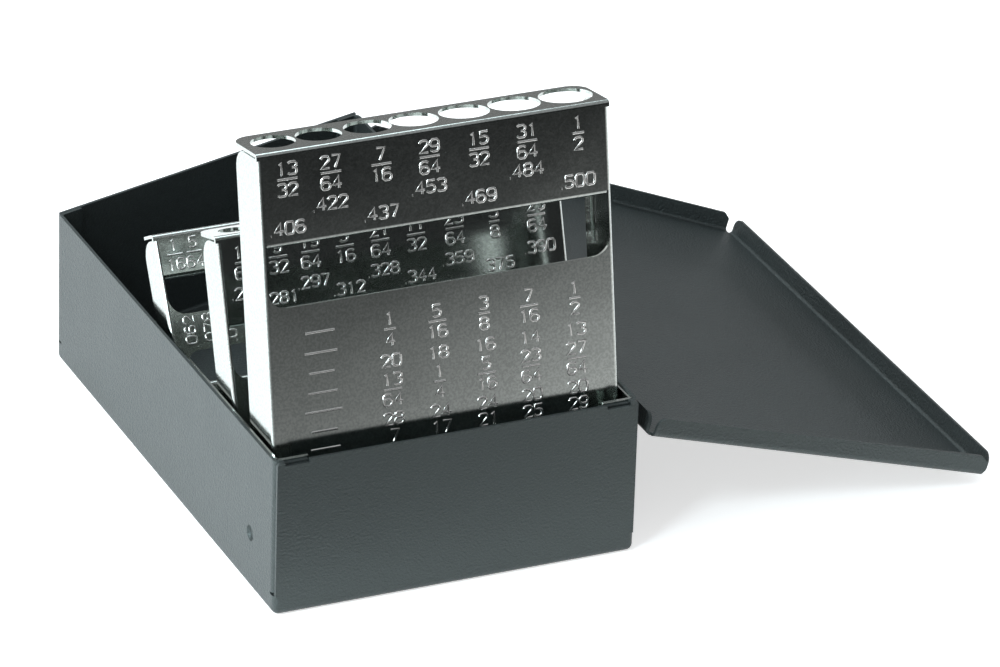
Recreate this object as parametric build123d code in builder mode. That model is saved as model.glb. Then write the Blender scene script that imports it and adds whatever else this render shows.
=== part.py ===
"""Drill index case: a folded steel box with a tray lid and three swing-up racks.

Millimetres. The origin is the middle of the front wall's width, 80 mm behind the front wall, on the
surface the box stands on. +X is to the right, +Y goes back, +Z is up. The lid is drawn open and the racks
are drawn raised.
"""
from math import cos, radians, sin
import os

from build123d import *

# ---- sheet metal -----------------------------------------------------------------------------------
sheet = 0.8
bend_outer = 1.6
bend_mid = bend_outer - sheet / 2
bend_inner = bend_outer - sheet

# ---- box -------------------------------------------------------------------------------------------
box_width = 93.0
box_height = 40.3
front_y = -80.0
left_depth = 144.2
right_depth = 174.4
corner_height = 5.0
corner_radius = 1.7
tab_gap = 0.1
seam_relief = 0.6
tab_reach = 8.1
rear_tab_reach = 6.1
flap_corner_radius = 0.9
flap_inset = 0.4
flap_notch_depth = 1.0
tab_notch_depth = 0.5
notch_near = 38.0
notch_far = 44.2
stake_y = front_y + 15.4
stake_z = 14.6
stake_bump_radius = 2.1
stake_dent_radius = 2.0
stake_dent_taper = 38
stake_bump_taper = 20
stake_depth = 0.7

half_width = box_width / 2
wall_mid_x = half_width - sheet / 2
wall_inner_x = half_width - sheet
back_angle = (right_depth - left_depth) / box_width
back_cos = 1 / (1 + back_angle**2) ** 0.5
relief_slant = 18.0


def back_y(x, inset):
    """Y of the line that runs parallel to the slanted back wall, this far inside its outer face."""
    return front_y + left_depth + (x + half_width) * back_angle - inset / back_cos


# ---- hinge -----------------------------------------------------------------------------------------
hinge_x = 49.2
hinge_z = 36.0
pin_radius = 0.8
pin_chamfer = 0.2
knuckle_bore = 0.83
knuckle_outer = 1.63
knuckle_gap = 0.4
knuckle_edges = [front_y + y for y in (25.0, 45.0, 75.4, 95.0, 125.4, 145.4)]
leaf_knuckles = [(knuckle_edges[0], knuckle_edges[1]), (knuckle_edges[2], knuckle_edges[3]),
                 (knuckle_edges[4], knuckle_edges[5])]
lid_knuckles = [(knuckle_edges[1] + knuckle_gap, knuckle_edges[2] - knuckle_gap),
                (knuckle_edges[3] + knuckle_gap, knuckle_edges[4] - knuckle_gap)]
leaf_start = knuckle_edges[0]
leaf_end = knuckle_edges[5]
leaf_upper_x = hinge_x - knuckle_outer + sheet / 2
leaf_lower_x = half_width + sheet / 2
leaf_bend = 1.0
leaf_joggle_top = 29.6
leaf_joggle_bottom = 27.4
leaf_bottom = 20.0
leaf_window_top = 33.8

# ---- lid -------------------------------------------------------------------------------------------
lid_slope = 16.6
lid_margin = 1.4
lid_near_u = 0.5
lid_far_u = 97.3
lid_face_w = -5.3
lid_relief = 1.7
lid_corner_radius = 2.6
lid_knuckle_clear_w = -1.9

# ---- side brackets ---------------------------------------------------------------------------------
bracket_outer_x = wall_inner_x
bracket_mid_x = bracket_outer_x - sheet / 2
bracket_front_y = front_y + 1.7
bracket_back_y = front_y + 68.0
bracket_bottom = 1.8
bracket_tab_reach = 37.7
bracket_corner_radius = 5.0
bracket_hole_radius = 2.2
bracket_drop = 0.4

# ---- racks: pivot, tilt and size of each -----------------------------------------------------------
rack_half_width = 44.3
rack_bend_outer = 1.0
rack_bend_mid = rack_bend_outer - sheet / 2
rack_bend_inner = rack_bend_outer - sheet
flange_inner_x = rack_half_width - sheet
top_shelf_half = 44.6
mid_shelf_half = 43.1
low_shelf_half = 41.8
slot_half = 43.5
flange_top_gap = 1.4
bend_run = 0.6
flange_corner_radius = 5.0
slot_corner_radius = 4.5
drill_clearance = 0.3
inch = 25.4

front_tilt = 10.0
front_pivot_y = front_y + 13.0
front_pivot_z = 32.4
front_face = 7.0
front_top = 78.0
front_below = 7.4
front_flange = 14.0
front_shelf = 16.5
front_shelf_round = 4.5
front_low_shelf = 12.0
front_round = 6.0
front_hole_depth = 8.9
front_slots = [(22.9, 37.65)]
front_hole_x = [-36.9, -25.5, -13.2, -1.5, 11.3, 24.1, 37.3]
front_sizes = [26, 27, 28, 29, 30, 31, 32]

middle_tilt = 18.07
middle_pivot_y = front_y + 30.05
middle_pivot_z = 16.9
middle_face = 5.5
middle_top = 62.9
middle_below = 5.0
middle_flange = 10.0
middle_shelf = 12.4
middle_shelf_round = 3.5
middle_low_shelf = 9.0
middle_round = 4.5
middle_hole_depth = 6.6
middle_slots = [(22.0, 34.8)]
middle_hole_x = [-37.6, -29.2, -20.7, -12.0, -2.9, 6.5, 16.3, 26.6, 37.4]
middle_sizes = [17, 18, 19, 20, 21, 22, 23, 24, 25]

rear_tilt = 29.0
rear_pivot_y = front_y + 58.7
rear_pivot_z = 5.4
rear_face = 4.3
rear_top = 61.0
rear_below = 1.0
rear_flange = 8.5
rear_shelf = 8.6
rear_shelf_round = 2.5
rear_low_shelf = 6.6
rear_round = 4.2
rear_hole_depth = 4.7
rear_slots = [(11.0, 20.0)]
rear_window_top = 29.2
rear_window_bottom = 36.9
rear_window_half = 41.0
rear_window_round = 3.0
rear_window_shelf = 8.3
rear_first_long = 6
rear_hole_x = [-39.8 + 5.0 * step + 0.12 * step * (step - 1) for step in range(13)]
rear_sizes = [4, 5, 6, 7, 8, 9, 10, 11, 12, 13, 14, 15, 16]

# ---- rivets ----------------------------------------------------------------------------------------
shank_radius = 1.5
rack_pivot_bore = 1.58
rivet_head_radius = 2.5
rivet_head_height = 1.0
rivet_head_gap = 0.1
rivet_head_round = 0.5


def side_plane(pivot_y, pivot_z, tilt):
    """Plane through a pivot: local x runs backward off the rack's face and local y runs up the face."""
    lean = radians(tilt)
    return Plane(origin=(0, pivot_y, pivot_z), x_dir=(0, cos(lean), -sin(lean)), z_dir=(1, 0, 0))


def face_plane(pivot_y, pivot_z, tilt):
    """Plane parallel to a rack's face through its pivot: local x is across and local y runs up the face."""
    lean = radians(tilt)
    return Plane(origin=(0, pivot_y, pivot_z), x_dir=(1, 0, 0), z_dir=(0, -cos(lean), sin(lean)))


def across_plane(pivot_y, pivot_z, tilt, height):
    """Plane square to a rack's face at a height above its pivot: local y runs backward off the face."""
    lean = radians(tilt)
    origin = (0, pivot_y + height * sin(lean), pivot_z + height * cos(lean))
    return Plane(origin=origin, x_dir=(1, 0, 0), z_dir=(0, sin(lean), cos(lean)))


def hole_radius(size):
    """Radius of the hole for a drill of this many sixty-fourths of an inch."""
    return (size * inch / 64 + drill_clearance) / 2


os.makedirs("parts", exist_ok=True)

# ---- box body: one folded blank ----------------------------------------------------------------------
with BuildPart() as box_body:
    # floor pan with its closed lower corners
    with BuildSketch():
        with BuildLine():
            Polyline(
                (-half_width, front_y),
                (half_width, front_y),
                (half_width, back_y(half_width, 0)),
                (-half_width, back_y(-half_width, 0)),
                close=True,
            )
        make_face()
        fillet(vertices(), corner_radius)
    extrude(amount=corner_height)
    fillet(faces().sort_by(Axis.Z)[0].edges(), bend_outer)
    with BuildSketch(Plane.XY.offset(sheet)):
        with BuildLine():
            Polyline(
                (-wall_inner_x, front_y + sheet),
                (wall_inner_x, front_y + sheet),
                (wall_inner_x, back_y(wall_inner_x, sheet)),
                (-wall_inner_x, back_y(-wall_inner_x, sheet)),
                close=True,
            )
        make_face()
        fillet(vertices(), corner_radius - sheet)
    extrude(amount=corner_height, mode=Mode.SUBTRACT)
    fillet(faces().filter_by(Axis.Z).sort_by(Axis.Z)[1].edges(), bend_inner)

    # side walls with the tabs bent in at both ends
    with BuildSketch(Plane.XY.offset(corner_height)):
        tab_line_y = front_y + sheet + tab_gap + sheet / 2
        tab_inset = sheet + tab_gap + sheet / 2
        for side, reach in ((-1, rear_tab_reach), (1, rear_tab_reach)):
            wall_x = side * wall_mid_x
            front_tab_x = side * (wall_mid_x - tab_reach)
            rear_tab_x = side * (wall_mid_x - reach)
            with BuildLine():
                FilletPolyline(
                    (front_tab_x, tab_line_y),
                    (wall_x, tab_line_y),
                    (wall_x, back_y(wall_x, tab_inset)),
                    (rear_tab_x, back_y(rear_tab_x, tab_inset)),
                    radius=bend_mid,
                )
            trace(line_width=sheet)
    extrude(amount=box_height - corner_height)

    # relief under each tab, so the tab hangs free of the floor pan
    with BuildSketch(Plane.XY.offset(corner_height)):
        for side in (-1, 1):
            relief_x = side * (half_width - tab_reach / 2)
            with Locations((relief_x, front_y + sheet + bend_outer / 2 + tab_gap / 2)):
                Rectangle(tab_reach + 2 * sheet, bend_outer + tab_gap)
            rear_x = side * (half_width - rear_tab_reach / 2)
            with Locations((rear_x, back_y(rear_x, sheet + bend_outer / 2 + tab_gap / 2))):
                Rectangle(rear_tab_reach + 2 * sheet, bend_outer + tab_gap, rotation=relief_slant)
    extrude(amount=seam_relief, mode=Mode.SUBTRACT)

    # front flap and slanted rear flap, outside the tabs
    flap_half = half_width - flap_inset
    with BuildSketch(Plane.XZ.offset(-front_y)):
        with Locations((0, (corner_height + box_height) / 2)):
            Rectangle(2 * flap_half, box_height - corner_height)
        fillet(vertices().group_by(Axis.Y)[-1], flap_corner_radius)
    extrude(amount=-sheet)
    with BuildSketch(Plane.XY.offset(corner_height)):
        with BuildLine():
            Polyline(
                (-flap_half, back_y(-flap_half, 0)),
                (flap_half, back_y(flap_half, 0)),
                (flap_half, back_y(flap_half, sheet)),
                (-flap_half, back_y(-flap_half, sheet)),
                close=True,
            )
        make_face()
    extrude(amount=box_height - corner_height)

    # notches in the front rim that bare the brackets' tabs: deeper in the flap than in the tab behind it
    for depth, reach in ((flap_notch_depth, sheet), (tab_notch_depth, 2 * sheet + tab_gap)):
        with BuildSketch(Plane.XY.offset(box_height - depth)):
            for side in (-1, 1):
                with Locations((side * (notch_near + notch_far) / 2, front_y)):
                    Rectangle(notch_far - notch_near, 2 * reach)
        extrude(amount=2 * depth, mode=Mode.SUBTRACT)

    # stakes pressed inward through the side walls
    for side in (-1, 1):
        outside = Plane(origin=(side * half_width, stake_y, stake_z), z_dir=(-side, 0, 0))
        with BuildSketch(outside.offset(sheet)):
            Circle(stake_bump_radius)
        extrude(amount=stake_depth, taper=stake_bump_taper)
        with BuildSketch(outside):
            Circle(stake_dent_radius)
        extrude(amount=stake_depth, taper=stake_dent_taper, mode=Mode.SUBTRACT)
box_body.part.label = "box_body"
export_step(box_body.part, "parts/box_body.step")

# ---- lid: one folded blank, drawn open and sloping down to the right ---------------------------------
slope = radians(lid_slope)
lid_plane = Plane(
    origin=(hinge_x, 0, hinge_z),
    x_dir=(cos(slope), 0, -sin(slope)),
    z_dir=(sin(slope), 0, cos(slope)),
)
lid_front_y = front_y - lid_margin


def lid_back_y(u, inset):
    """Y of the lid's slanted rear edge at a distance u from the hinge axis, this far inside it."""
    return back_y(hinge_x - u, inset - lid_margin)


with BuildPart() as lid:
    # outer tray
    with BuildSketch(lid_plane.offset(lid_face_w)):
        with BuildLine():
            Polyline(
                (lid_near_u, lid_front_y),
                (lid_far_u, lid_front_y),
                (lid_far_u, lid_back_y(lid_far_u, 0)),
                (lid_near_u, lid_back_y(lid_near_u, 0)),
                close=True,
            )
        make_face()
    extrude(amount=-lid_face_w)
    lower_edges = [
        edge for edge in edges() if abs(lid_plane.to_local_coords(edge.center()).Z - lid_face_w) < 0.01
    ]
    lid_outer = [lid_near_u + sheet, lid_far_u - sheet]
    with BuildSketch(lid_plane.offset(lid_face_w + sheet)):
        with BuildLine():
            Polyline(
                (lid_outer[0], lid_front_y + sheet),
                (lid_outer[1], lid_front_y + sheet),
                (lid_outer[1], lid_back_y(lid_outer[1], sheet)),
                (lid_outer[0], lid_back_y(lid_outer[0], sheet)),
                close=True,
            )
        make_face()
    extrude(amount=-lid_face_w, mode=Mode.SUBTRACT)
    fillet(lower_edges, bend_outer)
    inner_edges = [
        edge
        for edge in edges()
        if abs(lid_plane.to_local_coords(edge.center()).Z - lid_face_w - sheet) < 0.01
    ]
    fillet(inner_edges, bend_inner)

    # square reliefs at the corners, where the four flanges aren't joined
    with BuildSketch(lid_plane.offset(lid_face_w)):
        for u, toward in ((lid_near_u, 1), (lid_far_u, -1)):
            relief_u = u + toward * lid_relief / 2
            with Locations((relief_u, lid_front_y + lid_relief / 2)):
                Rectangle(lid_relief, lid_relief)
            with Locations((relief_u, lid_back_y(u + toward * lid_relief, lid_relief / 2))):
                Rectangle(lid_relief, 2 * lid_relief)
    extrude(amount=-2 * lid_face_w, mode=Mode.SUBTRACT)

    # rounded free corners of the flanges
    for shortest, longest in ((0, 1.02 * sheet), (1.02 * sheet, 1.3 * sheet)):
        free_corners = [
            edge
            for edge in edges()
            if abs(lid_plane.to_local_coords(edge.center()).Z) < 0.01 and shortest < edge.length < longest
        ]
        if shortest:
            chamfer(free_corners, lid_corner_radius / 2)
        else:
            fillet(free_corners, lid_corner_radius)

    # hinge flange cut back where the leaf's knuckles are
    with BuildSketch(lid_plane.offset(lid_knuckle_clear_w)):
        for start, end in leaf_knuckles:
            with Locations((lid_near_u + sheet / 2, (start + end) / 2)):
                Rectangle(4 * sheet, end - start + 2 * knuckle_gap)
    extrude(amount=-2 * lid_knuckle_clear_w, mode=Mode.SUBTRACT)

    # knuckles rolled from the hinge flange
    for start, end in lid_knuckles:
        with BuildSketch(Plane(origin=(hinge_x, start, hinge_z), z_dir=(0, 1, 0))):
            Circle(knuckle_outer)
        extrude(amount=end - start)
    with BuildSketch(Plane(origin=(hinge_x, leaf_start, hinge_z), z_dir=(0, 1, 0))):
        Circle(knuckle_bore)
    extrude(amount=leaf_end - leaf_start, mode=Mode.SUBTRACT)
lid.part.label = "lid"
export_step(lid.part, "parts/lid.step")

# ---- hinge leaf: joggled strip on the outside of the long wall ---------------------------------------
with BuildPart() as hinge_leaf:
    with BuildSketch(Plane.XZ.offset(-leaf_start)):
        with BuildLine():
            FilletPolyline(
                (leaf_upper_x, hinge_z),
                (leaf_upper_x, leaf_joggle_top),
                (leaf_lower_x, leaf_joggle_bottom),
                (leaf_lower_x, leaf_bottom),
                radius=leaf_bend,
            )
        trace(line_width=sheet)
    extrude(amount=leaf_start - leaf_end)
    with BuildSketch(Plane.YZ.offset(half_width)):
        for start, end in lid_knuckles:
            window_height = 2 * (hinge_z - leaf_window_top)
            with Locations(((start + end) / 2, hinge_z)):
                Rectangle(end - start + 2 * knuckle_gap, window_height)
    extrude(amount=4 * sheet, mode=Mode.SUBTRACT)
    for start, end in leaf_knuckles:
        with BuildSketch(Plane(origin=(hinge_x, start, hinge_z), z_dir=(0, 1, 0))):
            Circle(knuckle_outer)
        extrude(amount=end - start)
    with BuildSketch(Plane(origin=(hinge_x, leaf_start, hinge_z), z_dir=(0, 1, 0))):
        Circle(knuckle_bore)
    extrude(amount=leaf_end - leaf_start, mode=Mode.SUBTRACT)
hinge_leaf.part.label = "hinge_leaf"
export_step(hinge_leaf.part, "parts/hinge_leaf.step")

# ---- hinge pin ---------------------------------------------------------------------------------------
with BuildPart() as hinge_pin:
    with BuildSketch(Plane(origin=(hinge_x, leaf_start - knuckle_gap, hinge_z), z_dir=(0, 1, 0))):
        Circle(pin_radius)
    extrude(amount=leaf_end - leaf_start + 2 * knuckle_gap)
    chamfer(edges().filter_by(GeomType.CIRCLE), pin_chamfer)
hinge_pin.part.label = "hinge_pin"
export_step(hinge_pin.part, "parts/hinge_pin.step")

# ---- side brackets: plate and front tab -----------------------------------------------------------
pivots = [
    (front_pivot_y, front_pivot_z),
    (middle_pivot_y, middle_pivot_z),
    (rear_pivot_y, rear_pivot_z),
]
with BuildPart() as left_bracket:
    with BuildSketch(Plane.XY.offset(bracket_bottom)):
        with BuildLine():
            FilletPolyline(
                (-bracket_tab_reach, bracket_front_y + sheet / 2),
                (-bracket_mid_x, bracket_front_y + sheet / 2),
                (-bracket_mid_x, bracket_back_y),
                radius=bend_mid,
            )
        trace(line_width=sheet)
    extrude(amount=box_height - bracket_bottom)
    upper_edge = edges().filter_by(Axis.X).group_by(Axis.Z)[-1].sort_by(Axis.Y)[-1]
    fillet(upper_edge, bracket_corner_radius)
    # the plate's top edge lies a little below the rim, behind the tab
    with BuildSketch(Plane.XY.offset(box_height - bracket_drop)):
        with Locations((-bracket_mid_x, bracket_front_y + sheet)):
            Rectangle(2 * sheet, bracket_back_y - bracket_front_y, align=(Align.CENTER, Align.MIN))
    extrude(amount=2 * bracket_drop, mode=Mode.SUBTRACT)
    # bores for the rack rivets and the hole over the wall's stake
    with BuildSketch(Plane.YZ.offset(-bracket_outer_x)):
        with Locations(*pivots):
            Circle(shank_radius)
        with Locations((stake_y, stake_z)):
            Circle(bracket_hole_radius)
    extrude(amount=2 * sheet, mode=Mode.SUBTRACT)
left_bracket.part.label = "left_bracket"
export_step(left_bracket.part, "parts/left_bracket.step")

with BuildPart() as right_bracket:
    add(mirror(left_bracket.part, about=Plane.YZ))
right_bracket.part.label = "right_bracket"
export_step(right_bracket.part, "parts/right_bracket.step")

# ---- front rack ----------------------------------------------------------------------------------------
with BuildPart() as front_rack:
    front_side = side_plane(front_pivot_y, front_pivot_z, front_tilt)
    front_flat = face_plane(front_pivot_y, front_pivot_z, front_tilt)
    front_foot = max(front_below, front_round)
    front_flange_top = front_top - flange_top_gap
    front_mid = sheet / 2 - front_face
    # channel: face and two flanges
    with BuildSketch(across_plane(front_pivot_y, front_pivot_z, front_tilt, -front_foot)):
        with Locations((0, -front_face)):
            Rectangle(2 * rack_half_width, front_flange, align=(Align.CENTER, Align.MIN))
        fillet(vertices().group_by(Axis.Y)[0], rack_bend_outer)
        with Locations((0, sheet - front_face)):
            Rectangle(2 * flange_inner_x, front_flange, align=(Align.CENTER, Align.MIN), mode=Mode.SUBTRACT)
        fillet(vertices().group_by(Axis.Y)[1], rack_bend_inner)
    extrude(amount=front_foot + front_flange_top)
    # outline of the flanges, rounded about the pivot at the foot
    with BuildSketch(front_side):
        with BuildLine():
            Polyline(
                (-front_face, -front_below),
                (-front_face, front_flange_top),
                (front_flange - front_face, front_flange_top),
                (front_flange - front_face, -front_round),
                (0, -front_round),
                close=True,
            )
        make_face()
        fillet(vertices().group_by(Axis.X)[-1].sort_by(Axis.Y)[0], front_round - 0.05)
        fillet(vertices().group_by(Axis.Y)[-1].sort_by(Axis.X)[-1], flange_corner_radius)
    extrude(amount=box_width, both=True, mode=Mode.INTERSECT)
    # face ends above the bend of the low shelf
    with BuildSketch(front_flat):
        with Locations((0, rack_bend_outer - front_below)):
            Rectangle(2 * low_shelf_half + seam_relief, 8 * sheet, align=(Align.CENTER, Align.MAX))
    extrude(amount=front_face + sheet, mode=Mode.SUBTRACT)
    # windows across the face, up to the bends of the shelves above them
    for slot_top, slot_bottom in front_slots:
        slot_height = slot_bottom - slot_top + rack_bend_outer
        with BuildSketch(front_flat):
            with Locations((0, front_top - slot_top + rack_bend_outer)):
                Rectangle(2 * slot_half, slot_height, align=(Align.CENTER, Align.MAX))
            fillet(vertices().group_by(Axis.Y)[0], slot_corner_radius)
        extrude(amount=2 * front_face, mode=Mode.SUBTRACT)
    # shelves folded back: top, above each window, and at the foot
    with BuildSketch(front_side):
        with BuildLine():
            FilletPolyline(
                (front_mid, front_top - rack_bend_outer - bend_run),
                (front_mid, front_top - sheet / 2),
                (front_shelf - front_face, front_top - sheet / 2),
                radius=rack_bend_mid,
            )
        trace(line_width=sheet)
    extrude(amount=top_shelf_half, both=True)
    shelf_corners = [
        edge
        for edge in edges()
        if abs(front_side.to_local_coords(edge.center()).X - front_shelf + front_face) < 0.01
        and abs(edge.length - sheet) < 0.01
    ]
    fillet(shelf_corners, front_shelf_round)
    for slot_top, slot_bottom in front_slots:
        shelf_line = front_top - slot_top + sheet / 2
        with BuildSketch(front_side):
            with BuildLine():
                FilletPolyline(
                    (front_mid, shelf_line + 2 * rack_bend_outer),
                    (front_mid, shelf_line),
                    (front_shelf - front_face - sheet, shelf_line),
                    radius=rack_bend_mid,
                )
            trace(line_width=sheet)
        extrude(amount=mid_shelf_half, both=True)
    with BuildSketch(front_side):
        with BuildLine():
            FilletPolyline(
                (front_mid, rack_bend_outer + sheet - front_below),
                (front_mid, sheet / 2 - front_below),
                (front_low_shelf - front_face, sheet / 2 - front_below),
                radius=rack_bend_mid,
            )
        trace(line_width=sheet)
    extrude(amount=low_shelf_half, both=True)
    # drill holes through the holed shelves
    with BuildSketch(across_plane(front_pivot_y, front_pivot_z, front_tilt, front_top)):
        for hole_x, size in zip(front_hole_x, front_sizes):
            with Locations((hole_x, front_hole_depth - front_face)):
                Circle(hole_radius(size))
    extrude(amount=-front_slots[-1][1] + sheet, mode=Mode.SUBTRACT)
    # bores for the rivets
    for side in (-1, 1):
        with BuildSketch(front_side.offset(side * flange_inner_x)):
            Circle(rack_pivot_bore)
        extrude(amount=side * sheet, mode=Mode.SUBTRACT)
front_rack.part.label = "front_rack"
export_step(front_rack.part, "parts/front_rack.step")

# ---- middle rack ----------------------------------------------------------------------------------------
with BuildPart() as middle_rack:
    middle_side = side_plane(middle_pivot_y, middle_pivot_z, middle_tilt)
    middle_flat = face_plane(middle_pivot_y, middle_pivot_z, middle_tilt)
    middle_foot = max(middle_below, middle_round)
    middle_flange_top = middle_top - flange_top_gap
    middle_mid = sheet / 2 - middle_face
    # channel: face and two flanges
    with BuildSketch(across_plane(middle_pivot_y, middle_pivot_z, middle_tilt, -middle_foot)):
        with Locations((0, -middle_face)):
            Rectangle(2 * rack_half_width, middle_flange, align=(Align.CENTER, Align.MIN))
        fillet(vertices().group_by(Axis.Y)[0], rack_bend_outer)
        with Locations((0, sheet - middle_face)):
            Rectangle(2 * flange_inner_x, middle_flange, align=(Align.CENTER, Align.MIN), mode=Mode.SUBTRACT)
        fillet(vertices().group_by(Axis.Y)[1], rack_bend_inner)
    extrude(amount=middle_foot + middle_flange_top)
    # outline of the flanges, rounded about the pivot at the foot
    with BuildSketch(middle_side):
        with BuildLine():
            Polyline(
                (-middle_face, -middle_below),
                (-middle_face, middle_flange_top),
                (middle_flange - middle_face, middle_flange_top),
                (middle_flange - middle_face, -middle_round),
                (0, -middle_round),
                close=True,
            )
        make_face()
        fillet(vertices().group_by(Axis.X)[-1].sort_by(Axis.Y)[0], middle_round - 0.05)
        fillet(vertices().group_by(Axis.Y)[-1].sort_by(Axis.X)[-1], flange_corner_radius)
    extrude(amount=box_width, both=True, mode=Mode.INTERSECT)
    # face ends above the bend of the low shelf
    with BuildSketch(middle_flat):
        with Locations((0, rack_bend_outer - middle_below)):
            Rectangle(2 * low_shelf_half + seam_relief, 8 * sheet, align=(Align.CENTER, Align.MAX))
    extrude(amount=middle_face + sheet, mode=Mode.SUBTRACT)
    # windows across the face, up to the bends of the shelves above them
    for slot_top, slot_bottom in middle_slots:
        slot_height = slot_bottom - slot_top + rack_bend_outer
        with BuildSketch(middle_flat):
            with Locations((0, middle_top - slot_top + rack_bend_outer)):
                Rectangle(2 * slot_half, slot_height, align=(Align.CENTER, Align.MAX))
            fillet(vertices().group_by(Axis.Y)[0], slot_corner_radius)
        extrude(amount=2 * middle_face, mode=Mode.SUBTRACT)
    # shelves folded back: top, above each window, and at the foot
    with BuildSketch(middle_side):
        with BuildLine():
            FilletPolyline(
                (middle_mid, middle_top - rack_bend_outer - bend_run),
                (middle_mid, middle_top - sheet / 2),
                (middle_shelf - middle_face, middle_top - sheet / 2),
                radius=rack_bend_mid,
            )
        trace(line_width=sheet)
    extrude(amount=top_shelf_half, both=True)
    shelf_corners = [
        edge
        for edge in edges()
        if abs(middle_side.to_local_coords(edge.center()).X - middle_shelf + middle_face) < 0.01
        and abs(edge.length - sheet) < 0.01
    ]
    fillet(shelf_corners, middle_shelf_round)
    for slot_top, slot_bottom in middle_slots:
        shelf_line = middle_top - slot_top + sheet / 2
        with BuildSketch(middle_side):
            with BuildLine():
                FilletPolyline(
                    (middle_mid, shelf_line + 2 * rack_bend_outer),
                    (middle_mid, shelf_line),
                    (middle_shelf - middle_face - sheet, shelf_line),
                    radius=rack_bend_mid,
                )
            trace(line_width=sheet)
        extrude(amount=mid_shelf_half, both=True)
    with BuildSketch(middle_side):
        with BuildLine():
            FilletPolyline(
                (middle_mid, rack_bend_outer + sheet - middle_below),
                (middle_mid, sheet / 2 - middle_below),
                (middle_low_shelf - middle_face, sheet / 2 - middle_below),
                radius=rack_bend_mid,
            )
        trace(line_width=sheet)
    extrude(amount=low_shelf_half, both=True)
    # drill holes through the holed shelves
    with BuildSketch(across_plane(middle_pivot_y, middle_pivot_z, middle_tilt, middle_top)):
        for hole_x, size in zip(middle_hole_x, middle_sizes):
            with Locations((hole_x, middle_hole_depth - middle_face)):
                Circle(hole_radius(size))
    extrude(amount=-middle_slots[-1][1] + sheet, mode=Mode.SUBTRACT)
    # bores for the rivets
    for side in (-1, 1):
        with BuildSketch(middle_side.offset(side * flange_inner_x)):
            Circle(rack_pivot_bore)
        extrude(amount=side * sheet, mode=Mode.SUBTRACT)
middle_rack.part.label = "middle_rack"
export_step(middle_rack.part, "parts/middle_rack.step")

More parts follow.
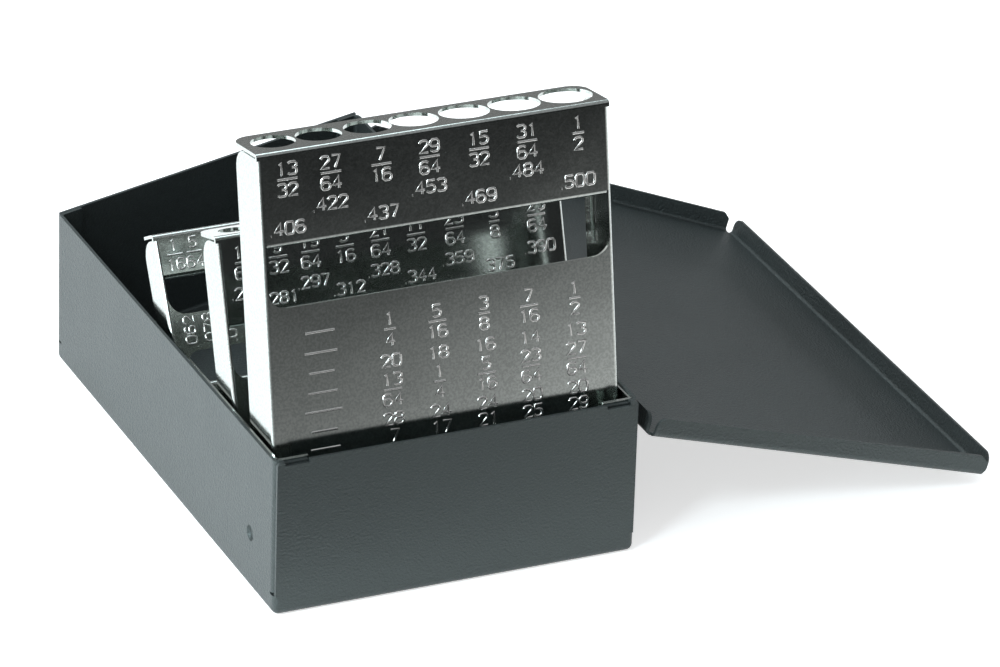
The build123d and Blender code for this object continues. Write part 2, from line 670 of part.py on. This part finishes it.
# ---- rear rack ----------------------------------------------------------------------------------------
with BuildPart() as rear_rack:
    rear_side = side_plane(rear_pivot_y, rear_pivot_z, rear_tilt)
    rear_flat = face_plane(rear_pivot_y, rear_pivot_z, rear_tilt)
    rear_foot = max(rear_below, rear_round)
    rear_flange_top = rear_top - flange_top_gap
    rear_mid = sheet / 2 - rear_face
    # channel: face and two flanges
    with BuildSketch(across_plane(rear_pivot_y, rear_pivot_z, rear_tilt, -rear_foot)):
        with Locations((0, -rear_face)):
            Rectangle(2 * rack_half_width, rear_flange, align=(Align.CENTER, Align.MIN))
        fillet(vertices().group_by(Axis.Y)[0], rack_bend_outer)
        with Locations((0, sheet - rear_face)):
            Rectangle(2 * flange_inner_x, rear_flange, align=(Align.CENTER, Align.MIN), mode=Mode.SUBTRACT)
        fillet(vertices().group_by(Axis.Y)[1], rack_bend_inner)
    extrude(amount=rear_foot + rear_flange_top)
    # outline of the flanges, rounded about the pivot at the foot
    with BuildSketch(rear_side):
        with BuildLine():
            Polyline(
                (-rear_face, -rear_below),
                (-rear_face, rear_flange_top),
                (rear_flange - rear_face, rear_flange_top),
                (rear_flange - rear_face, -rear_round),
                (0, -rear_round),
                close=True,
            )
        make_face()
        fillet(vertices().group_by(Axis.X)[-1].sort_by(Axis.Y)[0], rear_round - 0.05)
        fillet(vertices().group_by(Axis.Y)[-1].sort_by(Axis.X)[-1], flange_corner_radius)
    extrude(amount=box_width, both=True, mode=Mode.INTERSECT)
    # face ends above the bend of the low shelf
    with BuildSketch(rear_flat):
        with Locations((0, rack_bend_outer - rear_below)):
            Rectangle(2 * low_shelf_half + seam_relief, 8 * sheet, align=(Align.CENTER, Align.MAX))
    extrude(amount=rear_face + sheet, mode=Mode.SUBTRACT)
    # windows across the face, up to the bends of the shelves above them
    for slot_top, slot_bottom in rear_slots:
        slot_height = slot_bottom - slot_top + rack_bend_outer
        with BuildSketch(rear_flat):
            with Locations((0, rear_top - slot_top + rack_bend_outer)):
                Rectangle(2 * slot_half, slot_height, align=(Align.CENTER, Align.MAX))
            fillet(vertices().group_by(Axis.Y)[0], slot_corner_radius)
        extrude(amount=2 * rear_face, mode=Mode.SUBTRACT)
    # lower window: rounded above, with its sheet folded back at the lower edge
    with BuildSketch(rear_flat):
        with Locations((0, rear_top - rear_window_top)):
            window_height = rear_window_bottom - rear_window_top + rack_bend_outer
            Rectangle(2 * rear_window_half, window_height, align=(Align.CENTER, Align.MAX))
        fillet(vertices().group_by(Axis.Y)[-1], rear_window_round)
    extrude(amount=2 * rear_face, mode=Mode.SUBTRACT)
    window_line = rear_top - rear_window_bottom - sheet / 2
    with BuildSketch(rear_side):
        with BuildLine():
            FilletPolyline(
                (rear_mid, window_line - 2 * rack_bend_outer),
                (rear_mid, window_line),
                (rear_window_shelf - rear_face, window_line),
                radius=rack_bend_mid,
            )
        trace(line_width=sheet)
    extrude(amount=rear_window_half - tab_gap, both=True)
    # shelves folded back: top, above each window, and at the foot
    with BuildSketch(rear_side):
        with BuildLine():
            FilletPolyline(
                (rear_mid, rear_top - rack_bend_outer - bend_run),
                (rear_mid, rear_top - sheet / 2),
                (rear_shelf - rear_face, rear_top - sheet / 2),
                radius=rack_bend_mid,
            )
        trace(line_width=sheet)
    extrude(amount=top_shelf_half, both=True)
    shelf_corners = [
        edge
        for edge in edges()
        if abs(rear_side.to_local_coords(edge.center()).X - rear_shelf + rear_face) < 0.01
        and abs(edge.length - sheet) < 0.01
    ]
    fillet(shelf_corners, rear_shelf_round)
    for slot_top, slot_bottom in rear_slots:
        shelf_line = rear_top - slot_top + sheet / 2
        with BuildSketch(rear_side):
            with BuildLine():
                FilletPolyline(
                    (rear_mid, shelf_line + 2 * rack_bend_outer),
                    (rear_mid, shelf_line),
                    (rear_shelf - rear_face - sheet, shelf_line),
                    radius=rack_bend_mid,
                )
            trace(line_width=sheet)
        extrude(amount=mid_shelf_half, both=True)
    with BuildSketch(rear_side):
        with BuildLine():
            FilletPolyline(
                (rear_mid, rack_bend_outer + sheet - rear_below),
                (rear_mid, sheet / 2 - rear_below),
                (rear_low_shelf - rear_face, sheet / 2 - rear_below),
                radius=rack_bend_mid,
            )
        trace(line_width=sheet)
    extrude(amount=low_shelf_half, both=True)
    # drill holes through the holed shelves
    with BuildSketch(across_plane(rear_pivot_y, rear_pivot_z, rear_tilt, rear_top)):
        for hole_x, size in zip(rear_hole_x, rear_sizes):
            with Locations((hole_x, rear_hole_depth - rear_face)):
                Circle(hole_radius(size))
    extrude(amount=-rear_slots[-1][1] + sheet, mode=Mode.SUBTRACT)
    # the longer drills also pass the lower window's shelf, and stand on the foot
    with BuildSketch(across_plane(rear_pivot_y, rear_pivot_z, rear_tilt, window_line + sheet)):
        for hole_x, size in list(zip(rear_hole_x, rear_sizes))[rear_first_long:]:
            with Locations((hole_x, rear_hole_depth - rear_face)):
                Circle(hole_radius(size))
    extrude(amount=-2 * sheet, mode=Mode.SUBTRACT)
    # bores for the rivets
    for side in (-1, 1):
        with BuildSketch(rear_side.offset(side * flange_inner_x)):
            Circle(rack_pivot_bore)
        extrude(amount=side * sheet, mode=Mode.SUBTRACT)
rear_rack.part.label = "rear_rack"
export_step(rear_rack.part, "parts/rear_rack.step")

# ---- rivets: head inside the rack's flange, shank through flange and bracket ---------------------------
head_x = flange_inner_x - rivet_head_gap

with BuildPart() as front_pivot_right:
    head_base = (head_x - rivet_head_height, front_pivot_y, front_pivot_z)
    with BuildSketch(Plane(origin=head_base, z_dir=(1, 0, 0))):
        Circle(rivet_head_radius)
    extrude(amount=rivet_head_height)
    chamfer(edges().sort_by(Axis.X)[0], rivet_head_round)
    with BuildSketch(Plane(origin=(head_x, front_pivot_y, front_pivot_z), z_dir=(1, 0, 0))):
        Circle(shank_radius)
    extrude(amount=bracket_outer_x - head_x)
front_pivot_right.part.label = "front_pivot_right"
export_step(front_pivot_right.part, "parts/front_pivot_right.step")

with BuildPart() as front_pivot_left:
    add(mirror(front_pivot_right.part, about=Plane.YZ))
front_pivot_left.part.label = "front_pivot_left"
export_step(front_pivot_left.part, "parts/front_pivot_left.step")

with BuildPart() as middle_pivot_right:
    head_base = (head_x - rivet_head_height, middle_pivot_y, middle_pivot_z)
    with BuildSketch(Plane(origin=head_base, z_dir=(1, 0, 0))):
        Circle(rivet_head_radius)
    extrude(amount=rivet_head_height)
    chamfer(edges().sort_by(Axis.X)[0], rivet_head_round)
    with BuildSketch(Plane(origin=(head_x, middle_pivot_y, middle_pivot_z), z_dir=(1, 0, 0))):
        Circle(shank_radius)
    extrude(amount=bracket_outer_x - head_x)
middle_pivot_right.part.label = "middle_pivot_right"
export_step(middle_pivot_right.part, "parts/middle_pivot_right.step")

with BuildPart() as middle_pivot_left:
    add(mirror(middle_pivot_right.part, about=Plane.YZ))
middle_pivot_left.part.label = "middle_pivot_left"
export_step(middle_pivot_left.part, "parts/middle_pivot_left.step")

with BuildPart() as rear_pivot_right:
    with BuildSketch(Plane(origin=(head_x - rivet_head_height, rear_pivot_y, rear_pivot_z), z_dir=(1, 0, 0))):
        Circle(rivet_head_radius)
    extrude(amount=rivet_head_height)
    chamfer(edges().sort_by(Axis.X)[0], rivet_head_round)
    with BuildSketch(Plane(origin=(head_x, rear_pivot_y, rear_pivot_z), z_dir=(1, 0, 0))):
        Circle(shank_radius)
    extrude(amount=bracket_outer_x - head_x)
rear_pivot_right.part.label = "rear_pivot_right"
export_step(rear_pivot_right.part, "parts/rear_pivot_right.step")

with BuildPart() as rear_pivot_left:
    add(mirror(rear_pivot_right.part, about=Plane.YZ))
rear_pivot_left.part.label = "rear_pivot_left"
export_step(rear_pivot_left.part, "parts/rear_pivot_left.step")
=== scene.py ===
import bpy
from math import cos, radians, sin
from mathutils import Matrix, Vector


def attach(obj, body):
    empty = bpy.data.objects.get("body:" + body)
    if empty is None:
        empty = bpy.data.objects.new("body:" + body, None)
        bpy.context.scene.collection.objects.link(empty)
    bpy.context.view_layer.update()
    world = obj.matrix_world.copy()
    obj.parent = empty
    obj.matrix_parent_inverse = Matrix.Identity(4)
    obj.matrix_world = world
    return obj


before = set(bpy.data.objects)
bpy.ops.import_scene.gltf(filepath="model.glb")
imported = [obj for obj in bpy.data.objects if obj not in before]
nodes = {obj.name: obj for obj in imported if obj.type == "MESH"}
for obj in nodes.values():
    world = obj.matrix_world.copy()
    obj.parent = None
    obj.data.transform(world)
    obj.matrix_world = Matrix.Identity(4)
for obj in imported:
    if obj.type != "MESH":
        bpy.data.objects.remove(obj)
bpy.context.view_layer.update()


# ---- paint: dark slate enamel with a fine orange-peel skin --------------------------------------------
# It is baked on over the folded box, the lid and the hinge strip. Its skin is finely pebbled, and small
# lighter grey specks are painted into its colour as glints, a painted highlight.
class Field:
    """A value in a material's node tree, so that shader sums read as plain arithmetic."""

    def __init__(self, tree, socket):
        self.tree = tree
        self.socket = socket

    def node(self, kind, inputs=(), output=0, **settings):
        """A new node fed by fields or constants, by input name or index, and its chosen output."""
        made = self.tree.nodes.new(kind)
        for name, value in settings.items():
            setattr(made, name, value)
        for key, value in dict(inputs).items():
            if isinstance(value, Field):
                self.tree.links.new(value.socket, made.inputs[key])
            else:
                made.inputs[key].default_value = value
        return Field(self.tree, made.outputs[output])

    def math(self, operation, *values):
        return self.node("ShaderNodeMath", dict(enumerate((self, *values))), operation=operation)

    def __add__(self, other):
        return self.math("ADD", other)

    def __mul__(self, other):
        return self.math("MULTIPLY", other)

    __radd__ = __add__
    __rmul__ = __mul__

    def above(self, edge, width):
        """0 below edge, 1 above edge + width, and smooth between."""
        inputs = {"Value": self, "From Min": edge, "From Max": edge + width}
        return self.node("ShaderNodeMapRange", inputs, interpolation_type="SMOOTHSTEP")

    def blend(self, low, high):
        """Colour that goes from low to high as this field goes from 0 to 1."""
        inputs = {0: self, 6: low, 7: high}
        return self.node("ShaderNodeMix", inputs, output=2, data_type="RGBA")

    def noise(self, scale, detail=2.0, roughness=0.5):
        """Smooth random field over this coordinate; scale counts features in a metre."""
        inputs = {"Vector": self, "Scale": scale, "Detail": detail, "Roughness": roughness}
        return self.node("ShaderNodeTexNoise", inputs)

    def axis(self, index):
        return self.node("ShaderNodeSeparateXYZ", {0: self}, output=index)


paint = bpy.data.materials.new("slate_paint")
paint.use_nodes = True
tree = paint.node_tree
shader = tree.nodes["Principled BSDF"]
place = Field(tree, tree.nodes.new("ShaderNodeTexCoord").outputs["Object"])
dark_slate = (0.016, 0.0195, 0.020, 1.0)
light_slate = (0.024, 0.028, 0.0285, 1.0)
# lighter grey of the painted glint specks
painted_glint_grey = (0.060, 0.066, 0.068, 1.0)
green_sheen = (0.86, 1.0, 0.98, 1.0)
pebble_height = 0.0003
grain = place.noise(1500.0, 3.0, 0.6)
cloud = place.noise(45.0, 4.0, 0.6)
# painted highlight: small specks mixed toward a lighter grey in the base colour, standing in for glints
painted_glint_specks = place.noise(2600.0, 1.0).above(0.60, 0.10)
colour = (0.3 * painted_glint_specks).blend(cloud.blend(dark_slate, light_slate), painted_glint_grey)
tree.links.new(colour.socket, shader.inputs["Base Color"])
tree.links.new((0.12 * grain + 0.10 * cloud + 0.34).socket, shader.inputs["Roughness"])
shader.inputs["Specular IOR Level"].default_value = 0.8
shader.inputs["Specular Tint"].default_value = green_sheen
skin = grain.node("ShaderNodeBump", {"Height": grain, "Strength": 1.0, "Distance": pebble_height})
tree.links.new(skin.socket, shader.inputs["Normal"])
for name in ("box_body", "lid", "hinge_leaf"):
    for holder in nodes[name].material_slots:
        holder.material = paint

# ---- plate: dull zinc on the racks and side brackets --------------------------------------------------
# They are pressed from plated strip. The faces carry a fine spangle, soft clouds of brightness and a very
# slight waviness that bends what they mirror.
plate = bpy.data.materials.new("zinc_plate")
plate.use_nodes = True
tree = plate.node_tree
shader = tree.nodes["Principled BSDF"]
place = Field(tree, tree.nodes.new("ShaderNodeTexCoord").outputs["Object"])
dull_zinc = (0.40, 0.43, 0.41, 1.0)
clean_zinc = (0.61, 0.645, 0.62, 1.0)
wave_height = 0.0005
cloud = place.noise(30.0, 5.0, 0.6)
grain = place.noise(900.0, 3.0, 0.6)
spangle = place.noise(1700.0, 2.0).above(0.35, 0.30)
colour = (0.5 * cloud + 0.5 * spangle).blend(dull_zinc, clean_zinc)
shader.inputs["Metallic"].default_value = 1.0
tree.links.new(colour.socket, shader.inputs["Base Color"])
tree.links.new((0.08 * grain + 0.08 * cloud + 0.06).socket, shader.inputs["Roughness"])
waves = 0.05 * grain + place.noise(40.0, 1.0)
skin = waves.node("ShaderNodeBump", {"Height": waves, "Strength": 0.20, "Distance": wave_height})
tree.links.new(skin.socket, shader.inputs["Normal"])
for name in ("front_rack", "middle_rack", "rear_rack", "left_bracket", "right_bracket"):
    for holder in nodes[name].material_slots:
        holder.material = plate

# ---- stamped numbers: raised beads on the rack faces ---------------------------------------------------
# The real ones are pressed out from behind. Each digit is a few strokes on a grid 6 wide and 10 high, drawn
# as a round bead half sunk in the sheet. They are only drill sizes and the plain numbers of a chart.
digit_strokes = {
    "0": [[(1, 0), (5, 0), (6, 2), (6, 8), (5, 10), (1, 10), (0, 8), (0, 2), (1, 0)]],
    "1": [[(1.6, 8.2), (3.2, 10), (3.2, 0)]],
    "2": [[(0, 8), (1, 9.7), (3, 10), (5, 9.7), (6, 8), (5.8, 6.2), (0, 0), (6, 0)]],
    "3": [[(0, 9), (1.2, 10), (4.8, 10), (6, 8.6), (5.8, 6.6), (4.4, 5.4), (2.6, 5.4)],
          [(4.4, 5.4), (6, 4), (6, 1.6), (4.8, 0), (1.2, 0), (0, 1.2)]],
    "4": [[(4.4, 0), (4.4, 10), (0, 3), (6.2, 3)]],
    "5": [[(5.8, 10), (0.6, 10), (0.3, 5.6), (3.2, 6.2), (5.2, 5.4), (6, 3.4), (5.2, 0.9), (3, 0), (1, 0.3),
           (0, 1.4)]],
    "6": [[(5.6, 8.8), (4.4, 10), (1.6, 10), (0, 8), (0, 1.8), (1.4, 0), (4.6, 0), (6, 1.8), (6, 4),
           (4.6, 5.7), (1.4, 5.7), (0, 4)]],
    "7": [[(0, 10), (6, 10), (2.2, 0)]],
    "8": [[(1.3, 5.4), (0.3, 7), (0.3, 8.6), (1.5, 10), (4.5, 10), (5.7, 8.6), (5.7, 7), (4.7, 5.4),
           (1.3, 5.4)],
          [(1.3, 5.4), (0, 3.8), (0, 1.6), (1.4, 0), (4.6, 0), (6, 1.6), (6, 3.8), (4.7, 5.4)]],
    "9": [[(0.4, 1.2), (1.6, 0), (4.4, 0), (6, 2), (6, 8.2), (4.6, 10), (1.4, 10), (0, 8.2), (0, 6),
           (1.4, 4.3), (4.6, 4.3), (6, 6)]],
    ".": [[(0.6, 0), (1.0, 0)]],
}


class Stamping:
    """Beads on one rack's face, placed in millimetres across it and down from its top edge."""

    metre = 0.001
    digit_width = 6.0
    point_width = 1.6
    digit_gap = 1.9
    stretch = 1.18
    bar_gap = 1.05
    sunk = 0.06

    def __init__(self, name, body, pivot_y, pivot_z, tilt, face, top, bead):
        lean = radians(tilt)
        self.body = body
        self.up = Vector((0, sin(lean), cos(lean)))
        self.out = Vector((0, -cos(lean), sin(lean)))
        self.corner = Vector((0, pivot_y, pivot_z)) + top * self.up + (face - self.sunk) * self.out
        self.curve = bpy.data.curves.new(name, "CURVE")
        self.curve.dimensions = "3D"
        self.curve.bevel_depth = bead * self.metre
        self.curve.bevel_resolution = 2
        self.curve.use_fill_caps = True

    def stroke(self, points):
        """One bead through (across, down) points."""
        spline = self.curve.splines.new("POLY")
        spline.points.add(len(points) - 1)
        for knot, (across, down) in zip(spline.points, points):
            spot = self.corner + Vector((across, 0, 0)) - down * self.up
            knot.co = (*(spot * self.metre), 1.0)

    def dash(self, across, down, length):
        self.stroke([(across - length / 2, down), (across + length / 2, down)])

    def number(self, text, across, down, height, upward=False):
        """Digits centred on a point, level or reading up the face."""
        unit = height / 10
        widths = [self.point_width if mark == "." else self.digit_width for mark in text]
        cursor = -(sum(widths) + self.digit_gap * (len(text) - 1)) / 2
        for mark, width in zip(text, widths):
            for line in digit_strokes[mark]:
                points = [((cursor + x) * unit * self.stretch, (5 - y) * unit) for x, y in line]
                if upward:
                    points = [(y, -x) for x, y in points]
                self.stroke([(across + x, down + y) for x, y in points])
            cursor += width + self.digit_gap

    def fraction(self, above, below, across, bar, height, length):
        """Two numbers with a bar between them, its middle this far down the face."""
        self.number(above, across, bar - self.bar_gap - height / 2, height)
        self.dash(across, bar, length)
        self.number(below, across, bar + self.bar_gap + height / 2, height)

    def finish(self, material):
        """Put the beads in the scene and fix them to their rack."""
        piece = bpy.data.objects.new(self.curve.name, self.curve)
        bpy.context.collection.objects.link(piece)
        self.curve.materials.append(material)
        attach(piece, self.body)


# The beads are rubbed bright where the sheet around them has dulled.
worn_zinc = (0.75, 0.75, 0.73, 1.0)
bright_zinc = (0.95, 0.95, 0.93, 1.0)
rubbed = bpy.data.materials.new("rubbed_plate")
rubbed.use_nodes = True
tree = rubbed.node_tree
shader = tree.nodes["Principled BSDF"]
place = Field(tree, tree.nodes.new("ShaderNodeTexCoord").outputs["Object"])
wear = place.noise(400.0, 2.0)
shader.inputs["Metallic"].default_value = 1.0
tree.links.new(wear.blend(worn_zinc, bright_zinc).socket, shader.inputs["Base Color"])
tree.links.new((0.16 + 0.14 * wear).socket, shader.inputs["Roughness"])

# The front rack carries the seven largest sizes above its window and a chart of plain numbers below it.
# The chart's first column, words on the real thing, is only a dash for each line.
tall, low = 2.95, 2.9
long_bar, chart_bar, short_bar = 5.0, 4.6, 2.9
size_row, tap_row, coarse_row, coarse_drill_row, fine_row, fine_drill_row = 6.8, 46.8, 54.5, 61.6, 68.8, 75.4
stamping = Stamping("front_rack_numbers", "front_rack", -67.0, 32.4, 10.0, 7.0, 78.0, bead=0.34)
front_sizes = [
    ("13", "32", -37.3, ".406", 18.5),
    ("27", "64", -26.4, ".422", 14.1),
    ("7", "16", -13.8, ".437", 18.4),
    ("29", "64", -1.6, ".453", 14.0),
    ("15", "32", 10.9, ".469", 18.3),
    ("31", "64", 23.2, ".484", 13.7),
    ("1", "2", 36.3, ".500", 18.3),
]
for above, below, across, decimal, down in front_sizes:
    stamping.fraction(above, below, across, size_row, tall, long_bar if len(below) > 1 else short_bar)
    stamping.number(decimal, across - 0.6, down, tall)
chart = [
    (-13.6, "1", "4", "20", "13", "64", "28", "7", "32"),
    (-1.6, "5", "16", "18", "1", "4", "24", "17", "64"),
    (10.4, "3", "8", "16", "5", "16", "24", "21", "64"),
    (21.9, "7", "16", "14", "23", "64", "20", "25", "64"),
    (33.7, "1", "2", "13", "27", "64", "20", "29", "64"),
]
for across, size_a, size_b, coarse, coarse_a, coarse_b, fine, fine_a, fine_b in chart:
    stamping.fraction(size_a, size_b, across, tap_row, tall, chart_bar if len(size_b) > 1 else short_bar)
    stamping.number(coarse, across, coarse_row, tall)
    drill_bar = chart_bar if len(coarse_b) > 1 else short_bar
    stamping.fraction(coarse_a, coarse_b, across, coarse_drill_row, low, drill_bar)
    stamping.number(fine, across, fine_row, tall)
    stamping.fraction(fine_a, fine_b, across, fine_drill_row, low, chart_bar)
label_lines = [(44.6, 7.4), (49.6, 8.2), (54.5, 6.4), (59.4, 7.4), (64.0, 9.4), (68.8, 6.4), (73.2, 7.4)]
label_x = -31.2
for down, length in label_lines:
    stamping.dash(label_x, down, length)
stamping.finish(rubbed)

# The middle rack carries nine sizes in one band above its window, with the decimals in two steps.
size_row, size_height, decimal_height = 7.0, 2.8, 2.7
long_bar, short_bar = 4.6, 2.8
stamping = Stamping("middle_rack_numbers", "middle_rack", -49.95, 16.9, 18.07, 5.5, 62.9, bead=0.34)
middle_sizes = [
    ("17", "64", -38.0, ".266", 14.3),
    ("9", "32", -29.4, ".281", 16.8),
    ("19", "64", -21.2, ".297", 14.2),
    ("5", "16", -12.4, ".312", 17.2),
    ("21", "64", -3.3, ".328", 14.1),
    ("11", "32", 5.9, ".344", 17.0),
    ("23", "64", 15.9, ".359", 14.3),
    ("3", "8", 26.2, ".375", 17.3),
    ("25", "64", 37.2, ".390", 14.7),
]
for above, below, across, decimal, down in middle_sizes:
    stamping.fraction(above, below, across, size_row, size_height, long_bar if len(below) > 1 else short_bar)
    stamping.number(decimal, across, down, decimal_height)
stamping.finish(rubbed)

# The rear rack carries thirteen sizes in its top band, and the decimals read upward in the band below.
size_row, decimal_row, rear_height = 5.5, 24.6, 2.6
long_bar, short_bar = 3.9, 2.6
first_x, first_step, step_growth = -39.8, 5.0, 0.12
stamping = Stamping("rear_rack_numbers", "rear_rack", -21.3, 5.4, 29.0, 4.3, 61.0, bead=0.29)
rear_sizes = [
    ("1", "16", ".062"),
    ("5", "64", ".078"),
    ("3", "32", ".093"),
    ("7", "64", ".109"),
    ("1", "8", ".125"),
    ("9", "64", ".140"),
    ("5", "32", ".156"),
    ("11", "64", ".171"),
    ("3", "16", ".187"),
    ("13", "64", ".203"),
    ("7", "32", ".218"),
    ("15", "64", ".234"),
    ("1", "4", ".250"),
]
for index, (above, below, decimal) in enumerate(rear_sizes):
    across = first_x + first_step * index + step_growth * index * (index - 1)
    stamping.fraction(above, below, across, size_row, rear_height, long_bar if len(below) > 1 else short_bar)
    stamping.number(decimal, across + 0.6, decimal_row, rear_height, upward=True)
stamping.finish(rubbed)

# ---- rivets and hinge wire: brighter bare steel ---------------------------------------------------------
# The rivet heads are smooth and the wire is drawn, so both are shinier than the sheet they hold.
grey_steel = (0.55, 0.55, 0.54, 1.0)
bare_steel = (0.72, 0.72, 0.70, 1.0)
steel = bpy.data.materials.new("bright_steel")
steel.use_nodes = True
tree = steel.node_tree
shader = tree.nodes["Principled BSDF"]
place = Field(tree, tree.nodes.new("ShaderNodeTexCoord").outputs["Object"])
grain = place.noise(1200.0, 3.0, 0.6)
shader.inputs["Metallic"].default_value = 1.0
tree.links.new(grain.blend(grey_steel, bare_steel).socket, shader.inputs["Base Color"])
tree.links.new((0.18 + 0.15 * grain).socket, shader.inputs["Roughness"])
for name, node in nodes.items():
    if "pivot" in name or name == "hinge_pin":
        for holder in node.material_slots:
            holder.material = steel

# ---- floor: a sheet of white paper ----------------------------------------------------------------------
# It looks lit from below to the camera and in mirrored surfaces only, so that it stays white and still shows
# the object's shadow, and puts no extra light on the object.
paper_grey = (0.90, 0.90, 0.90, 1.0)
paper_white = (0.93, 0.93, 0.93, 1.0)
no_light = (0.0, 0.0, 0.0, 1.0)
paper_glow = (0.62, 0.62, 0.62, 1.0)
floor_reach = 6.0
floor_drop = 0.0002
floor_corners = [(x * floor_reach, y * floor_reach, 0) for x, y in ((-1, -1), (1, -1), (1, 1), (-1, 1))]
floor_mesh = bpy.data.meshes.new("floor")
floor_mesh.from_pydata(floor_corners, [], [(0, 1, 2, 3)])
floor = bpy.data.objects.new("floor", floor_mesh)
bpy.context.collection.objects.link(floor)
floor.location.z = -floor_drop
paper = bpy.data.materials.new("white_sheet")
paper.use_nodes = True
tree = paper.node_tree
shader = tree.nodes["Principled BSDF"]
place = Field(tree, tree.nodes.new("ShaderNodeTexCoord").outputs["Object"])
tree.links.new(place.noise(3.0).blend(paper_grey, paper_white).socket, shader.inputs["Base Color"])
mirrored = place.node("ShaderNodeLightPath", output="Is Glossy Ray")
shown = place.node("ShaderNodeLightPath", output="Is Camera Ray").math("MAXIMUM", mirrored)
tree.links.new(shown.blend(no_light, paper_glow).socket, shader.inputs["Emission Color"])
shader.inputs["Emission Strength"].default_value = 1.0
shader.inputs["Roughness"].default_value = 0.9
floor_mesh.materials.append(paper)

# ---- dark card: what the plated faces mirror ------------------------------------------------------------
# It lies in front of the case, turns up at its far edge and is hidden from the camera. It glows faintly near
# the case and is black farther off, so the rack faces darken toward their tops.
card_left, card_right = -1.2, 1.6
card_rows = ((-0.10, 0.002), (-1.10, 0.002), (-1.30, 0.9))
mirror_slant = 0.458
card_mesh = bpy.data.meshes.new("front_card")
card_points = [(x, y, z) for y, z in card_rows for x in (card_left, card_right)]
card_mesh.from_pydata(card_points, [], [(0, 1, 3, 2), (2, 3, 5, 4)])
card = bpy.data.objects.new("front_card", card_mesh)
bpy.context.collection.objects.link(card)
card.visible_camera = False
card.visible_shadow = False
card.visible_diffuse = False
black = bpy.data.materials.new("black_card")
black.use_nodes = True
tree = black.node_tree
shader = tree.nodes["Principled BSDF"]
place = Field(tree, tree.nodes.new("ShaderNodeTexCoord").outputs["Object"])
across = place.axis(0)
depth = place.axis(1)
rise = depth.above(-1.0, 0.70)
toward_hinge = (depth * mirror_slant + across).above(-0.10, 0.16) * 0.45 + 0.20
far_glow = rise * rise * (rise * 0.4 + 0.7) * toward_hinge
near_glow = depth.above(-0.35, 0.25) * (across.above(-0.15, 0.5) * 0.3 + 0.2)
glow = (far_glow + near_glow).blend(no_light, (1.0, 1.0, 1.0, 1.0))
tree.links.new(glow.socket, shader.inputs["Emission Color"])
shader.inputs["Emission Strength"].default_value = 1.0
shader.inputs["Base Color"].default_value = (0.01, 0.01, 0.01, 1.0)
card_mesh.materials.append(black)

# ---- studio walls and lamps -----------------------------------------------------------------------------
# The walls are white to the left and grey to the right and overhead, and the camera sees them white. The key
# lamp lights the long left wall, the glint picks out the beads, and the fill lights the lid.
white = (1.0, 1.0, 1.0, 1.0)
grey_side = (0.22, 0.22, 0.22, 1.0)
grey_top = (0.45, 0.46, 0.48, 1.0)
daylight = (0.82, 0.95, 1.0)
world = bpy.data.worlds.new("studio")
bpy.context.scene.world = world
world.use_nodes = True
tree = world.node_tree
direction = Field(tree, tree.nodes.new("ShaderNodeTexCoord").outputs["Generated"])
seen = direction.node("ShaderNodeLightPath", output="Is Camera Ray")
around = direction.axis(0).above(-0.5, 1.0).blend(white, grey_side)
walls = (direction.axis(2).above(0.15, 0.5) * 0.7).blend(around, grey_top)
tree.links.new(seen.blend(walls, white).socket, tree.nodes["Background"].inputs["Color"])
tree.nodes["Background"].inputs["Strength"].default_value = 1.0

lamps = [
    ("key_left", (-0.55, -0.10, 0.26), (0, -0.04, 0.02), 0.4, 3.4),
    ("glint", (-0.75, -0.55, 0.85), (0, 0, 0.06), 0.22, 5.0),
    ("fill_top", (0.2, 0.7, 1.5), (0, 0, 0.03), 0.9, 7.0),
]
for name, spot, target, width, power in lamps:
    light = bpy.data.lights.new(name, "AREA")
    light.size = width
    light.energy = power
    light.color = daylight
    lamp = bpy.data.objects.new(name, light)
    bpy.context.collection.objects.link(lamp)
    lamp.location = spot
    lamp.rotation_euler = (Vector(target) - Vector(spot)).to_track_quat("-Z", "Y").to_euler()

# ---- camera: high on the front left, far off with a long lens -------------------------------------------
# Its angles and distance were fitted to the corners of the case. The small side and upward moves put the
# case where the photograph has it.
azimuth = radians(24.62)
elevation = radians(26.45)
roll = radians(1.88)
aim = Vector((0, 0, 0.020))
distance, side_move, up_move = 1.70281, 0.04217, 0.0078
forward = Vector((sin(azimuth) * cos(elevation), cos(azimuth) * cos(elevation), -sin(elevation)))
level = Vector((cos(azimuth), -sin(azimuth), 0))
upright = level.cross(forward)
right = cos(roll) * level + sin(roll) * upright
up = cos(roll) * upright - sin(roll) * level
eye = aim - distance * forward + side_move * right + up_move * up
lens = bpy.data.cameras.new("camera")
lens.sensor_width = 36.0
lens.lens = 250.32
lens.clip_start = 0.05
camera = bpy.data.objects.new("camera", lens)
bpy.context.collection.objects.link(camera)
camera.matrix_world = Matrix.Translation(eye) @ Matrix((right, up, -forward)).transposed().to_4x4()
bpy.context.scene.camera = camera
bpy.context.scene.view_settings.view_transform = "Standard"
